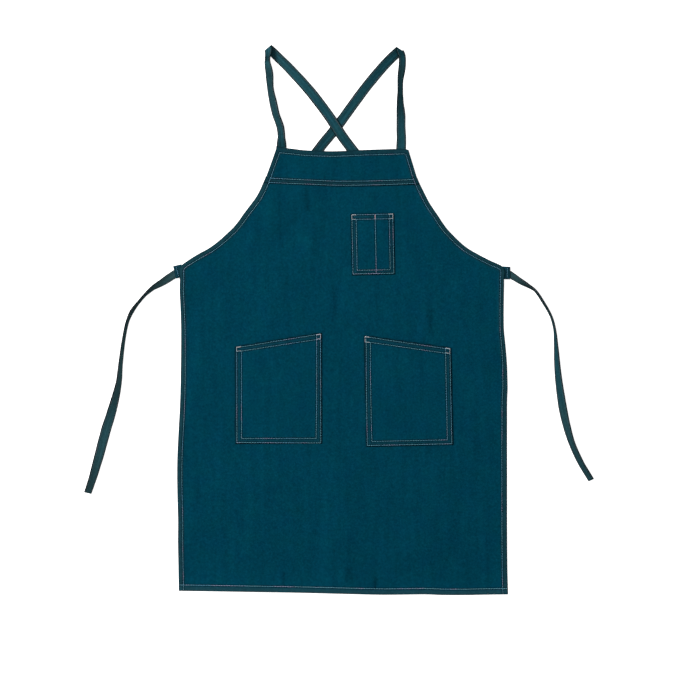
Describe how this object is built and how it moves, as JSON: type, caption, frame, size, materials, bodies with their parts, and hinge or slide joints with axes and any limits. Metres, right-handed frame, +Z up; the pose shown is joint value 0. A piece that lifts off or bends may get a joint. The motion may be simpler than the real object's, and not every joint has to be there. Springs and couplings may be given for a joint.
{
  "type": "cross back apron",
  "caption": "Bib work apron laid flat, with patch pockets, a pen pocket and crossed shoulder straps that run through waist loops and end as ties.",
  "frame": {"origin": "On the surface that the apron lies on, under the middle of its waist line, the height where the armholes meet the straight sides", "axes": "+Z up out of the surface, towards the apron's front; +Y from the hem to the bib; +X to the picture's right, across the body"},
  "size_m": [1.0186, 1.098, 0.0201],
  "materials": {
    "drill": "matte, deep teal navy cotton drill",
    "strap_tape": "matte, deep teal navy folded cotton tape"
  },
  "bodies": {
    "root": {"apron_body": "drill", "bib_band": "drill", "pen_pocket": "drill", "hip_pocket_left": "drill", "hip_pocket_right": "drill", "waist_loop_left": "drill", "waist_loop_right": "drill", "shoulder_strap_left": "strap_tape", "shoulder_strap_right": "strap_tape"}
  },
  "joints": []
}
